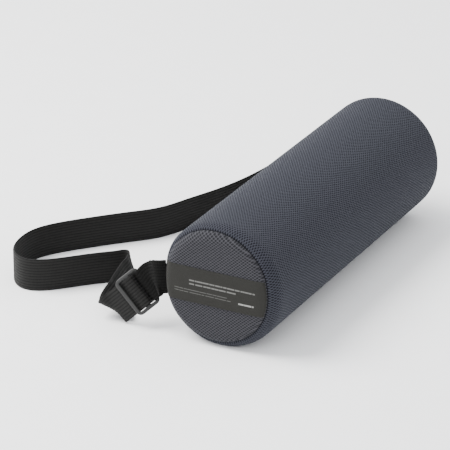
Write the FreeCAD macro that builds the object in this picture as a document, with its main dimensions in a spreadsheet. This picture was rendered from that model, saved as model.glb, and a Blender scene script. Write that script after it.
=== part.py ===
"""Lumbar support roll: a foam cylinder in a zipped mesh cover, with an elastic strap and a tri-glide buckle.

Frame: X along the roll (labelled front end at -X), +Y the strap side, which faces the backrest, +Z up.
The origin is the centre of the narrow flat that the roll rests on. Units are millimetres.
"""
import FreeCAD, Part
import math
import os

import Sketcher
from FreeCAD import Placement, Rotation, Vector

# name, value in mm (degrees for angles), what it is
DIMENSIONS = [
    ("outer_radius", 46.0, "roll radius over the cover"),
    ("roll_length", 280.0, "roll length over the end panels"),
    ("rest_depth", 0.5, "depth of the flat pressed under the roll"),
    ("cloth", 1.2, "thickness of the spacer-mesh cover"),
    ("fit_gap", 0.2, "room between cover and foam"),
    ("front_round", 11.5, "rounding at the labelled end"),
    ("rear_round", 7.0, "rounding at the other end"),
    ("front_seam", 42.0, "radius of the front panel's seam circle"),
    ("rear_seam", 43.4, "radius of the rear panel's seam circle"),
    ("seam_groove", 1.2, "width of the groove where sleeve and panel meet"),
    ("thread_radius", 0.45, "radius of the seam thread"),
    ("label_width", 27.0, "width of the label ribbon"),
    ("label_thick", 0.35, "thickness of the label ribbon"),
    ("web_width", 25.0, "width of the elastic webbing"),
    ("web_thick", 1.5, "thickness of the elastic webbing"),
    ("buckle_long", 31.0, "tri-glide size across the webbing"),
    ("buckle_short", 20.0, "tri-glide size along the webbing"),
    ("buckle_thick", 2.6, "tri-glide thickness"),
    ("buckle_corner", 4.0, "tri-glide corner radius"),
    ("slot_long", 26.0, "tri-glide slot length"),
    ("slot_short", 5.6, "tri-glide slot width"),
    ("slot_pitch", 8.9, "distance between the two slots' centres"),
    ("zip_angle", 15.0, "zip's place round the roll, above the +Y side"),
    ("zip_length", 200.0, "length of the row of teeth"),
    ("zip_gap", 13.0, "width of the cover's slit for the zip"),
    ("tape_width", 5.4, "visible width of each zip tape"),
    ("tape_thick", 0.6, "thickness of the zip tape"),
    ("teeth_width", 1.65, "width of each row of teeth"),
    ("teeth_height", 1.2, "height of the teeth over the tape"),
    ("runner_long", 11.0, "zip slider length"),
    ("runner_wide", 8.4, "zip slider width"),
    ("runner_high", 2.35, "zip slider height"),
    ("pull_long", 24.0, "zip pull length"),
    ("pull_wide", 7.0, "zip pull width"),
    ("pull_thick", 1.2, "zip pull thickness"),
    ("pull_window", 5.2, "reach of the window behind the pull's end bar"),
    ("arch_long", 6.8, "length of the slider's arch"),
    ("arch_wide", 2.2, "width of the slider's arch"),
    ("arch_wall", 0.7, "thickness of the slider's arch"),
    ("arch_room", 2.0, "height of the opening under the arch"),
    ("web_gap", 0.35, "room between webbing and what it passes"),
]

doc = FreeCAD.newDocument("lumbar_roll")
sheet = doc.addObject("Spreadsheet::Sheet", "dims")
for row, (alias, value, note) in enumerate(DIMENSIONS, start=1):
    sheet.set(f"A{row}", note)
    sheet.set(f"B{row}", str(value))
    sheet.setAlias(f"B{row}", alias)
doc.recompute()


def dim(alias):
    """A driving dimension, read from the sheet."""
    return float(sheet.get(alias))


AXIS_HEIGHT = "(dims.outer_radius - dims.rest_depth)"
HALF_LENGTH = "dims.roll_length / 2"
axis_z = dim("outer_radius") - dim("rest_depth")
nodes = []


def node(feature, label):
    """Marks a feature as one of the object's pieces, under the piece's name."""
    feature.Label = label
    nodes.append(feature)
    return feature


def bind(feature, **expressions):
    """Binds properties to expressions; a double underscore in a name stands for a dot."""
    for name, expression in expressions.items():
        feature.setExpression(name.replace("__", "."), str(expression))
    return feature


# ---------------------------------------------------------------- shapes used more than once

def origin_plane(body, role):
    return next(item for item in body.Origin.OriginFeatures if item.Role == role)


def sketch_on(body, role, name):
    sketch = body.newObject("Sketcher::SketchObject", name)
    sketch.AttachmentSupport = [(origin_plane(body, role), "")]
    sketch.MapMode = "FlatFace"
    return sketch


def circle_in(sketch, radius):
    """A circle about the sketch's origin; its radius is an expression."""
    index = sketch.addGeometry(Part.Circle(Vector(0, 0, 0), Vector(0, 0, 1), dim("outer_radius")), False)
    sketch.addConstraint(Sketcher.Constraint("Coincident", index, 3, -1, 1))
    constraint = sketch.addConstraint(Sketcher.Constraint("Radius", index, dim("outer_radius")))
    sketch.setExpression(f"Constraints[{constraint}]", radius)


def rectangle_in(sketch, x_low, x_high, y_low, y_high):
    """A closed rectangle whose four sides stand at the given expressions."""
    start = [Vector(-1, -1, 0), Vector(1, -1, 0), Vector(1, 1, 0), Vector(-1, 1, 0)]
    lines = [sketch.addGeometry(Part.LineSegment(start[i], start[(i + 1) % 4]), False) for i in range(4)]
    for i in range(4):
        sketch.addConstraint(Sketcher.Constraint("Coincident", lines[i], 2, lines[(i + 1) % 4], 1))
    corners = [(x_low, y_low), (x_high, y_low), (x_high, y_high), (x_low, y_high)]
    for line, (x, y) in zip(lines, corners):
        for kind, place in (("DistanceX", x), ("DistanceY", y)):
            constraint = sketch.addConstraint(Sketcher.Constraint(kind, -1, 1, line, 1, 1.0))
            sketch.setExpression(f"Constraints[{constraint}]", place)


def end_edge(shape, x):
    """Name of the circular edge that lies in the plane at x."""
    for number, edge in enumerate(shape.Edges, start=1):
        box = edge.BoundBox
        if abs(box.XMin - x) < 0.01 and abs(box.XMax - x) < 0.01:
            return f"Edge{number}"
    raise RuntimeError(f"no edge at x = {x}")


def roll_form(name, inset):
    """The roll's rounded cylinder, smaller by inset (an expression) on every face."""
    body = doc.addObject("PartDesign::Body", name)
    sketch = sketch_on(body, "YZ_Plane", name + "_circle")
    circle_in(sketch, f"dims.outer_radius - {inset}")
    pad = body.newObject("PartDesign::Pad", name + "_pad")
    pad.Profile = sketch
    pad.SideType = "Symmetric"
    bind(pad, Length=f"dims.roll_length - 2 * {inset}")
    doc.recompute()
    for end, rounding in ((-1, "front_round"), (1, "rear_round")):
        base = body.Tip
        fillet = body.newObject("PartDesign::Fillet", f"{name}_{rounding}")
        fillet.Base = (base, [end_edge(base.Shape, end * pad.Shape.BoundBox.XMax)])
        bind(fillet, Radius=f"dims.{rounding} - {inset}")
        doc.recompute()
    return bind(body, Placement__Base__z=AXIS_HEIGHT)


def boolean(kind, name, base, *tools):
    """Part::Cut, Part::Common or Part::Fuse of a base with one tool after another."""
    for number, tool in enumerate(tools, start=1):
        feature = doc.addObject(f"Part::{kind}", name if number == len(tools) else f"{name}_{number}")
        feature.Base, feature.Tool = base, tool
        base = feature
    return base


def axial_cylinder(name, radius, start, length):
    """A cylinder on the roll's axis; radius, first x and length are expressions."""
    cylinder = doc.addObject("Part::Cylinder", name)
    cylinder.Placement = Placement(Vector(0, 0, 0), Rotation(Vector(0, 1, 0), 90))
    return bind(cylinder, Radius=radius, Height=length, Placement__Base__x=start,
                Placement__Base__z=AXIS_HEIGHT)


def zip_box(name, x_low, x_long, out_low, out_long, side_low, side_long):
    """A box in the zip's frame: along the roll, out from the roll's axis, and round the roll."""
    box = doc.addObject("Part::Box", name)
    box.Placement = Placement(Vector(0, 0, 0), Rotation(Vector(1, 0, 0), dim("zip_angle")))
    out, side = f"({out_low})", f"({side_low})"
    sine, cosine = "sin(dims.zip_angle * 1 deg)", "cos(dims.zip_angle * 1 deg)"
    return bind(box, Length=x_long, Width=out_long, Height=side_long, Placement__Base__x=x_low,
                Placement__Base__y=f"{out} * {cosine} - {side} * {sine}",
                Placement__Base__z=f"{AXIS_HEIGHT} + {out} * {sine} + {side} * {cosine}")


class WebbingPath:
    """One smooth curve through (centre, direction of the webbing's width) stations."""

    def __init__(self, stations):
        centres = [Vector(*centre) for centre, _ in stations]
        self.sides = [Vector(*side).normalize() for _, side in stations]
        self.knots = [0.0]     # centripetal spacing keeps the curve from overshooting beside a tight bend
        for first, second in zip(centres, centres[1:]):
            self.knots.append(self.knots[-1] + math.sqrt((second - first).Length))
        self.curve = Part.BSplineCurve()
        self.curve.interpolate(Points=centres, Parameters=self.knots)

    def frame(self, place):
        """Centre, width direction and face direction at a place between the first knot and the last."""
        centre, along = self.curve.value(place), self.curve.tangent(place)[0]
        span = max(i for i in range(len(self.knots) - 1) if i == 0 or place > self.knots[i])
        share = (place - self.knots[span]) / (self.knots[span + 1] - self.knots[span])
        share = share * share * (3 - 2 * share)
        side = self.sides[span] * (1 - share) + self.sides[span + 1] * share
        side = (side - along * side.dot(along)).normalize()
        return centre, side, along.cross(side)

    def strip(self, first, last, steps, gap=0.0):
        """Webbing from one station to another, as rectangles square to the curve, starting gap further on."""
        half_width, half_thick = dim("web_width") / 2, dim("web_thick") / 2
        start = self.knots[first] + gap / self.curve.getD1(self.knots[first])[1].Length
        sections = []
        for step in range(steps + 1):
            centre, side, face = self.frame(start + (self.knots[last] - start) * step / steps)
            corners = [centre + side * (half_width * i) + face * (half_thick * j)
                       for i, j in ((1, 1), (-1, 1), (-1, -1), (1, -1))]
            sections.append(Part.makePolygon(corners + corners[:1]))
        return Part.makeLoft(sections, True, True)


def shape_feature(label, shape):
    feature = doc.addObject("Part::Feature", label)
    feature.Shape = shape
    feature.Placement = Placement()
    return node(feature, label)


# ---------------------------------------------------------------- foam and cover

outer = roll_form("outer_form", "0")
inner = roll_form("inner_form", "dims.cloth")
skin = boolean("Cut", "skin", outer, inner)
node(roll_form("core_form", "(dims.cloth + dims.fit_gap)"), "foam_core")

END_REACH = "20"
GROOVE = "dims.seam_groove / 2"
FRONT = f"-{HALF_LENGTH} - 1"
REAR = f"{HALF_LENGTH} - {END_REACH} + 1"
front_panel_tool = axial_cylinder("front_panel_tool", f"dims.front_seam - {GROOVE}", FRONT, END_REACH)
rear_panel_tool = axial_cylinder("rear_panel_tool", f"dims.rear_seam - {GROOVE}", REAR, END_REACH)
node(boolean("Common", "front_panel", skin, front_panel_tool), "front_end_panel")
node(boolean("Common", "rear_panel", skin, rear_panel_tool), "rear_end_panel")

front_opening = axial_cylinder("front_opening", f"dims.front_seam + {GROOVE}", FRONT, END_REACH)
rear_opening = axial_cylinder("rear_opening", f"dims.rear_seam + {GROOVE}", REAR, END_REACH)
SLIT_START, SLIT_LONG = "-dims.zip_length / 2 - 5", "dims.zip_length + 10"
THROUGH_COVER = ("dims.outer_radius - 4", 8)    # start and length of a box that passes through the cover
zip_slit = zip_box("zip_slit", SLIT_START, SLIT_LONG, *THROUGH_COVER, "-dims.zip_gap / 2", "dims.zip_gap")
floor_tool = doc.addObject("Part::Box", "floor_tool")
bind(floor_tool, Length="dims.roll_length", Width="2 * dims.outer_radius", Height=5,
     Placement__Base__x=f"-{HALF_LENGTH}", Placement__Base__y="-dims.outer_radius", Placement__Base__z=-5)
node(boolean("Cut", "sleeve", skin, front_opening, rear_opening, zip_slit, floor_tool), "cover_sleeve")


def seam_thread(label, end, seam, rounding):
    """The sewing thread in the groove between sleeve and end panel, midway through the cloth."""
    torus = doc.addObject("Part::Torus", label + "_torus")
    torus.Placement = Placement(Vector(0, 0, 0), Rotation(Vector(0, 1, 0), 90))
    past_round = (f"sqrt((dims.{rounding} - dims.cloth / 2)^2"
                  f" - (dims.{seam} - dims.outer_radius + dims.{rounding})^2)")
    bind(torus, Radius1=f"dims.{seam}", Radius2="dims.thread_radius",
         Placement__Base__x=f"{end} * ({HALF_LENGTH} - dims.{rounding} + {past_round})",
         Placement__Base__z=AXIS_HEIGHT)
    return node(torus, label)


seam_thread("front_seam_thread", -1, "front_seam", "front_round")
seam_thread("rear_seam_thread", 1, "rear_seam", "rear_round")

label_layer = boolean("Cut", "label_layer", roll_form("label_form", "(0 - dims.label_thick)"), outer)
label_tool = doc.addObject("Part::Box", "label_tool")
bind(label_tool, Length=END_REACH, Width="2 * dims.outer_radius", Height="dims.label_width",
     Placement__Base__x=FRONT, Placement__Base__y="-dims.outer_radius",
     Placement__Base__z=f"{AXIS_HEIGHT} - dims.label_width / 2")
node(boolean("Common", "label", label_layer, label_tool, front_panel_tool), "end_label")

# ---------------------------------------------------------------- zip on the hidden side

TAPE_OUT = "dims.outer_radius - dims.cloth / 2 + dims.tape_thick / 2"
TEETH_START = "-dims.zip_length / 2"
tape_tube = boolean("Cut", "tape_tube",
                    axial_cylinder("tape_outer", TAPE_OUT, f"{TEETH_START} - 4", "dims.zip_length + 8"),
                    axial_cylinder("tape_inner", f"{TAPE_OUT} - dims.tape_thick", SLIT_START, SLIT_LONG))
TAPE_INSIDE = "dims.zip_gap / 2 - 0.1 - dims.tape_width"
TEETH_INSIDE = "0.05"
STOP_LONG, STOP_WIDE = "2.4", "1.8"
STITCH_WIDE = "0.6"


def beside(side, inside, width):
    """Where a strip starts round the roll if it lies inside to inside + width on one side of the zip."""
    return inside if side == "upper" else f"-({inside}) - {width}"


for side in ("upper", "lower"):
    reach = zip_box(f"tape_reach_{side}", SLIT_START, SLIT_LONG, *THROUGH_COVER,
                    beside(side, TAPE_INSIDE, "dims.tape_width"), "dims.tape_width")
    node(boolean("Common", f"tape_{side}", tape_tube, reach), f"zip_tape_{side}")
    node(zip_box(f"teeth_{side}", TEETH_START, "dims.zip_length", TAPE_OUT, "dims.teeth_height",
                 beside(side, TEETH_INSIDE, "dims.teeth_width"), "dims.teeth_width"), f"zip_teeth_{side}")
    node(zip_box(f"top_stop_{side}", f"{TEETH_START} - {STOP_LONG} - 0.1", STOP_LONG, TAPE_OUT,
                 "dims.teeth_height", beside(side, "0.2", STOP_WIDE), STOP_WIDE), f"zip_top_stop_{side}")
    node(zip_box(f"stitch_{side}", SLIT_START, SLIT_LONG, "dims.outer_radius - 0.3", STITCH_WIDE,
                 beside(side, "dims.zip_gap / 2 + 1.4", STITCH_WIDE), STITCH_WIDE), f"zip_stitch_row_{side}")
node(zip_box("bottom_stop", "dims.zip_length / 2 + 0.1", STOP_LONG, TAPE_OUT, "dims.teeth_height",
             f"-{STOP_WIDE} - 0.2", f"2 * {STOP_WIDE} + 0.4"), "zip_bottom_stop")

# the slider straddles the teeth at the closed end, with an arch over its top for the pull
RUNNER_START = f"{TEETH_START} + 1"
RUNNER_GAP = "0.25"
RUNNER_OUT = f"{TAPE_OUT} + {RUNNER_GAP}"
RUNNER_TOP = f"{RUNNER_OUT} + dims.runner_high"
RUNNER_MIDDLE = f"{RUNNER_START} + dims.runner_long / 2"
ARCH_LEG = "1.3"
runner_block = zip_box("runner_block", RUNNER_START, "dims.runner_long", RUNNER_OUT, "dims.runner_high",
                       "-dims.runner_wide / 2", "dims.runner_wide")
runner_channel = zip_box("runner_channel", f"{RUNNER_START} - 1", "dims.runner_long + 2", f"{RUNNER_OUT} - 1",
                         "dims.teeth_height + 1.05", "-dims.teeth_width - 0.4", "2 * dims.teeth_width + 0.8")
arch_block = zip_box("arch_block", f"{RUNNER_MIDDLE} - dims.arch_long / 2", "dims.arch_long",
                     f"{RUNNER_TOP} - 0.2", "0.2 + dims.arch_room + dims.arch_wall",
                     "-dims.arch_wide / 2", "dims.arch_wide")
arch_hole = zip_box("arch_hole", f"{RUNNER_MIDDLE} - dims.arch_long / 2 + {ARCH_LEG}",
                    f"dims.arch_long - 2 * {ARCH_LEG}", RUNNER_TOP, "dims.arch_room",
                    "-dims.arch_wide", "2 * dims.arch_wide")
runner_body = boolean("Cut", "runner_body", boolean("Fuse", "runner_solid", runner_block, arch_block),
                      runner_channel, arch_hole)
node(runner_body, "zip_slider_body")

# the pull's round end bar passes through the arch; its two arms run past the arch to the finger plate
WINDOW_HALF = "(dims.arch_wide / 2 + 0.35)"
pull = doc.addObject("PartDesign::Body", "pull")
pull_sketch = sketch_on(pull, "XY_Plane", "pull_outline")
rectangle_in(pull_sketch, "0", "dims.pull_long", "-dims.pull_wide / 2", "dims.pull_wide / 2")
rectangle_in(pull_sketch, "dims.pull_thick / 2", "dims.pull_window", f"-{WINDOW_HALF}", WINDOW_HALF)
pull_pad = pull.newObject("PartDesign::Pad", "pull_pad")
pull_pad.Profile = pull_sketch
pull_pad.SideType = "Symmetric"
bind(pull_pad, Length="dims.pull_thick")
doc.recompute()
pull_bar = pull.newObject("PartDesign::AdditiveCylinder", "pull_bar")
pull_bar.Placement = Placement(Vector(0, 0, 0), Rotation(Vector(1, 0, 0), -90))
bind(pull_bar, Radius="dims.pull_thick / 2", Height="dims.pull_wide",
     Placement__Base__y="-dims.pull_wide / 2")
doc.recompute()
zip_turn = math.radians(dim("zip_angle"))
pull_out = (dim("outer_radius") - dim("cloth") / 2 + dim("tape_thick") / 2 + float(RUNNER_GAP)
            + dim("runner_high") + dim("arch_room") / 2)
pull_place = Vector(-dim("zip_length") / 2 + 1 + dim("runner_long") / 2,
                    pull_out * math.cos(zip_turn), axis_z + pull_out * math.sin(zip_turn))
pull.Placement = Placement(pull_place, Rotation(Vector(1, 0, 0), dim("zip_angle") - 90))
node(pull, "zip_pull_tab")

# ---------------------------------------------------------------- tri-glide buckle

# buckle frame: across the bars towards the roll, along the bars, and out of its face
BUCKLE_CENTRE = Vector(-132.9, 67.3, 26.0)
ALONG_BARS = Vector(0, 0.695, 0.719).normalize()
BUCKLE_FACE = Vector(-0.806, -0.425, 0.411).normalize()
ACROSS_BARS = ALONG_BARS.cross(BUCKLE_FACE).normalize()
BUCKLE_FACE = ACROSS_BARS.cross(ALONG_BARS)
buckle_place = Placement(FreeCAD.Matrix(
    ACROSS_BARS.x, ALONG_BARS.x, BUCKLE_FACE.x, BUCKLE_CENTRE.x,
    ACROSS_BARS.y, ALONG_BARS.y, BUCKLE_FACE.y, BUCKLE_CENTRE.y,
    ACROSS_BARS.z, ALONG_BARS.z, BUCKLE_FACE.z, BUCKLE_CENTRE.z, 0, 0, 0, 1))


def at_buckle(across, along, out):
    """A point given in the buckle's frame."""
    return tuple(BUCKLE_CENTRE + ACROSS_BARS * across + ALONG_BARS * along + BUCKLE_FACE * out)


buckle = doc.addObject("PartDesign::Body", "buckle")
buckle_sketch = sketch_on(buckle, "XY_Plane", "buckle_outline")
rectangle_in(buckle_sketch, "-dims.buckle_short / 2", "dims.buckle_short / 2", "-dims.buckle_long / 2",
             "dims.buckle_long / 2")
buckle_pad = buckle.newObject("PartDesign::Pad", "buckle_pad")
buckle_pad.Profile = buckle_sketch
buckle_pad.SideType = "Symmetric"
bind(buckle_pad, Length="dims.buckle_thick")
doc.recompute()
upright = [f"Edge{number}" for number, edge in enumerate(buckle_pad.Shape.Edges, start=1)
           if edge.BoundBox.ZLength > 1]
buckle_corners = buckle.newObject("PartDesign::Fillet", "buckle_corners")
buckle_corners.Base = (buckle_pad, upright)
bind(buckle_corners, Radius="dims.buckle_corner")
doc.recompute()
slot_sketch = sketch_on(buckle, "XY_Plane", "buckle_slots")
for side in (-1, 1):
    rectangle_in(slot_sketch, f"{side} * dims.slot_pitch / 2 - dims.slot_short / 2",
                 f"{side} * dims.slot_pitch / 2 + dims.slot_short / 2",
                 "-dims.slot_long / 2", "dims.slot_long / 2")
slots = buckle.newObject("PartDesign::Pocket", "buckle_slot_cut")
slots.Profile = slot_sketch
slots.Type = "ThroughAll"
slots.SideType = "Symmetric"
doc.recompute()
solid_before, solid_after = buckle_corners.Shape.Volume, slots.Shape.Volume
slot_volume = 2 * dim("slot_long") * dim("slot_short") * dim("buckle_thick")
assert abs(solid_before - solid_after - slot_volume) < 1, "the tri-glide's slots aren't cut through"
buckle.Placement = buckle_place
node(buckle, "tri_glide_buckle")

# ---------------------------------------------------------------- webbing

thick, web_gap = dim("web_thick"), dim("web_gap")
UP = (0, 0, 1)
STAND = dim("web_width") / 2 + 0.1    # centre height of webbing that stands on its edge
BARS = tuple(ALONG_BARS)
FOLD_SIDE = (0.02, 0.95, 0.31)


def on_bars(*points):
    """Stations given in the buckle's frame as (across, along, out), with the width along its bars."""
    return [(at_buckle(*point), BARS) for point in points]


def wrap(across, out, radius, first_turn, last_turn, count):
    """Stations round a bar, on a circle about (across, out); turns are in degrees from the across axis."""
    step = math.radians(last_turn - first_turn) / (count - 1)
    turns = [math.radians(first_turn) + step * number for number in range(count)]
    return on_bars(*((across + radius * math.cos(turn), 0, out + radius * math.sin(turn)) for turn in turns))


# out of the rear seam, round and down towards the back of the roll
rear_bend = [((140.9, 45.0, axis_z), UP), ((146.5, 49.5, 43.5), UP), ((148.5, 56.5, 38.5), UP),
             ((144.0, 63.5, 33.0), UP)]
# behind the roll, out to the far turn, back past the buckle, round and down to the fold
long_run = [((134.2, 68.7, 28.4), UP), ((112, 77.5, 22), UP), ((84, 90, 16), UP), ((56, 103, 13.2), UP),
            ((30, 115, STAND), UP), ((6, 126, STAND), UP), ((-14, 144, STAND), UP), ((-36, 164.5, STAND), UP),
            ((-56, 181, STAND), UP), ((-74, 190, STAND), UP), ((-94, 190.5, STAND), UP),
            ((-112, 183.5, STAND), UP), ((-120.5, 170, STAND), UP), ((-116, 156, STAND), UP),
            ((-102, 141, STAND), UP), ((-88, 127.5, STAND), UP), ((-78.5, 117, STAND), UP),
            ((-73.5, 108, STAND + 0.3), (0, 0.25, 1)), ((-79.5, 100.8, STAND + 0.5), (-0.1, 0.4, 1)),
            ((-92, 97.8, STAND), (-0.1, 0.55, 1)), ((-112, 92.5, 10.8), (0, 0.75, 0.85))]
# the bend by the floor, up under the outer bar, over the middle bar, down beside the tab and on as the tail
LOOP_RADIUS, LOOP_ACROSS = 2.9, 8.6     # the tab's bend about the inner bar
bar_out = dim("buckle_thick") / 2 + web_gap + thick / 2
tail_out = -LOOP_RADIUS - thick - web_gap
turn = [((-126.4, 89.5, 8.7), (0.02, 0.9, 0.45)), (at_buckle(-20.6, 1.0, -17.6), FOLD_SIDE),
        (at_buckle(-21.9, 0.6, -15.4), FOLD_SIDE), (at_buckle(-21.1, 0.3, -12.4), FOLD_SIDE),
        (at_buckle(-18.7, 0.1, -10.0), (0, 0.85, 0.5))]
turn += on_bars((-14.6, 0, -6.9), (-10.6, 0, -3.7), (-8.0, 0, -2.6), (-6.3, 0, -2.1), (-4.6, 0, -0.2),
                (-3.0, 0, 1.65), (-1.7, 0, 2.35), (0, 0, bar_out), (1.6, 0, 2.3), (2.7, 0, 1.4),
                (3.1, 0, 0), (3.5, 0, -1.6), (4.5, 0, -3.4), (6.6, 0, -4.7),
                (9.4, 0, tail_out - 0.1), (15, 0, tail_out - 0.2), (21, 0, tail_out - 0.6))
strap = WebbingPath(rear_bend + long_run + turn)
bend_end = len(rear_bend)
fold = bend_end + len(long_run)
tail_end = fold + len(turn) - 1
shape_feature("strap_rear_bend", strap.strip(0, bend_end, 16))
shape_feature("strap_webbing", strap.strip(bend_end, fold, 110, gap=0.3))
shape_feature("strap_adjuster_turn", strap.strip(fold, tail_end, 110, gap=0.3))

# the tab: from the front seam down to the buckle's inner bar, round it, and back behind itself to the seam
TAB_LEAN = 56.6        # the tab leaves the buckle's bar at this angle out of the buckle's plane
front_layer = [((-138.4, 43.6, axis_z - 1.5), UP), ((-137.6, 48.2, 43.4), (0, 0.05, 1)),
               ((-135.0, 52.6, 41.0), (0, 0.2, 1)), ((-133.0, 55.9, 38.2), (0, 0.45, 0.9))]
round_bar = [(at_buckle(8.9, -0.4, 6.4), BARS)]
round_bar += wrap(LOOP_ACROSS, 0, LOOP_RADIUS, TAB_LEAN + 90, TAB_LEAN + 255, 6)
round_bar += [(at_buckle(11.7, -0.3, 2.6), BARS), (at_buckle(12.4, -0.4, 4.9), BARS)]
front_path = WebbingPath(front_layer + round_bar[:1])
back_layer = []
for place, (_, side) in zip(front_path.knots, front_layer):
    centre, _, face = front_path.frame(place)
    behind = face if face.x > 0 else -face
    back_layer.append((tuple(centre + behind * (thick + web_gap)), side))
tab = WebbingPath(front_layer + round_bar + back_layer[::-1])
shape_feature("strap_tab", tab.strip(0, len(tab.knots) - 1, 130))

# ---------------------------------------------------------------- checks, then one file per piece

doc.recompute()
for feature in doc.Objects:
    if {"Invalid", "Error"} & set(feature.State):
        raise RuntimeError(f"{feature.Label} failed: {feature.State}")
os.makedirs("parts", exist_ok=True)
for feature in nodes:
    shape = feature.Shape
    if shape.isNull() or not shape.isValid() or not shape.Solids:
        raise RuntimeError(f"{feature.Label} has no valid solid")
    box = shape.BoundBox
    print(f"{feature.Label:24s} {len(shape.Solids)} solid(s) {shape.Volume:10.1f} mm3"
          f"  x {box.XMin:7.1f} {box.XMax:7.1f}"
          f"  y {box.YMin:7.1f} {box.YMax:7.1f}"
          f"  z {box.ZMin:7.1f} {box.ZMax:7.1f}")
    shape.exportStep(f"parts/{feature.Label}.step")
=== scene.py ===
"""Looks of the lumbar roll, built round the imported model: mesh cover, seams, label, zip, webbing and buckle.

Metres, in the part's own frame: X along the roll, +Y the strap side, +Z up.
"""
from math import asin, atan2, copysign, cos, exp, pi, radians, sin, sqrt

import bmesh
import bpy
import numpy as np
from mathutils import Matrix, Vector
from mathutils.bvhtree import BVHTree


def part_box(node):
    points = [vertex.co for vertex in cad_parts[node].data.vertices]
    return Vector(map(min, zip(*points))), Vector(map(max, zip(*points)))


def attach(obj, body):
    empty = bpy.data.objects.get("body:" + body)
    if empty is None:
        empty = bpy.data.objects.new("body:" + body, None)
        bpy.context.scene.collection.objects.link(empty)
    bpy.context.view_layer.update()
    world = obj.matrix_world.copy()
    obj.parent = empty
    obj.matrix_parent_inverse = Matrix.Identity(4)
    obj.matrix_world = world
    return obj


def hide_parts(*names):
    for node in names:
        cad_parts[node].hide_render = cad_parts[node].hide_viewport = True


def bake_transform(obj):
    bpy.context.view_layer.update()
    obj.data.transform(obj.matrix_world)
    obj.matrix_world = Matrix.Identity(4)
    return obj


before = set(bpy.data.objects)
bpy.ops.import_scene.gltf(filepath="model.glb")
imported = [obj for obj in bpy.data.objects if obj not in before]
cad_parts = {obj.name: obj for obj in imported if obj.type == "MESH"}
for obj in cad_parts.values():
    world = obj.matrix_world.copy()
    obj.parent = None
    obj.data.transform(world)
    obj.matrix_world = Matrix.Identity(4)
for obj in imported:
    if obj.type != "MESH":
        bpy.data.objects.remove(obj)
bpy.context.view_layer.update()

MM = 0.001
TURN = 2 * pi

# ---- sizes: the roll's from the frame, and its cloth's

sleeve_low, sleeve_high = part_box("cover_sleeve")
front_low, front_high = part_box("front_end_panel")
rear_low, rear_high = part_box("rear_end_panel")
RADIUS = (sleeve_high[1] - sleeve_low[1]) / 2
AXIS_Z = sleeve_high[2] - RADIUS
FRONT_X, REAR_X = front_low[0], rear_high[0]
GROOVE = 0.6 * MM  # from an end panel's rim to the middle of its seam
FRONT_SEAM = (front_high[1] - front_low[1]) / 2 + GROOVE
REAR_SEAM = (rear_high[1] - rear_low[1]) / 2 + GROOVE
FRONT_ROUND, REAR_ROUND = 11.5 * MM, 7 * MM  # radii of the rounded ends
CLOTH = 1.2 * MM

# ---- camera and lights, first

def add_object(name, data):
    made = bpy.data.objects.new(name, data)
    bpy.context.collection.objects.link(made)
    return made


def make_camera():
    """The camera stands off the labelled end, on the side away from the strap, and looks down at the roll."""
    data = bpy.data.cameras.new("camera")
    data.lens, data.sensor_width = 240.6, 36
    data.clip_start, data.clip_end = 0.1, 20
    camera = add_object("camera", data)
    camera.location = (-1.81836, -0.89354, 0.95589)
    view = Vector((0.805594, 0.425459, -0.412315))
    camera.rotation_euler = view.to_track_quat("-Z", "Y").to_euler()
    bpy.context.scene.camera = camera


def area_light(name, place, target, size, power, tint):
    """A round lamp at a place, aimed at a target."""
    data = bpy.data.lights.new(name, "AREA")
    data.shape, data.size, data.energy, data.color = "DISK", size, power, tint
    light = add_object(name, data)
    light.location = place
    light.rotation_euler = (Vector(target) - Vector(place)).to_track_quat("-Z", "Y").to_euler()


def make_studio():
    world = bpy.data.worlds.new("studio")
    world.use_nodes = True
    background = world.node_tree.nodes["Background"]
    background.inputs["Color"].default_value = (0.96, 0.975, 1.0, 1)
    background.inputs["Strength"].default_value = 1.7
    bpy.context.scene.world = world
    area_light("key", (-0.45, 1.05, 1.6), (0, 0, 0), size=1.2, power=78, tint=(1.0, 0.995, 0.98))
    area_light("fill", (-1.7, -0.2, 1.2), (-0.1, 0, 0.03), size=1.0, power=9, tint=(0.98, 0.985, 1.0))
    bpy.ops.mesh.primitive_plane_add(size=8, location=(0, 0, -0.2 * MM))
    floor = bpy.context.object
    floor.name = "floor"
    floor.data.materials.append(floor_material())


# ---- material building blocks

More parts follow.
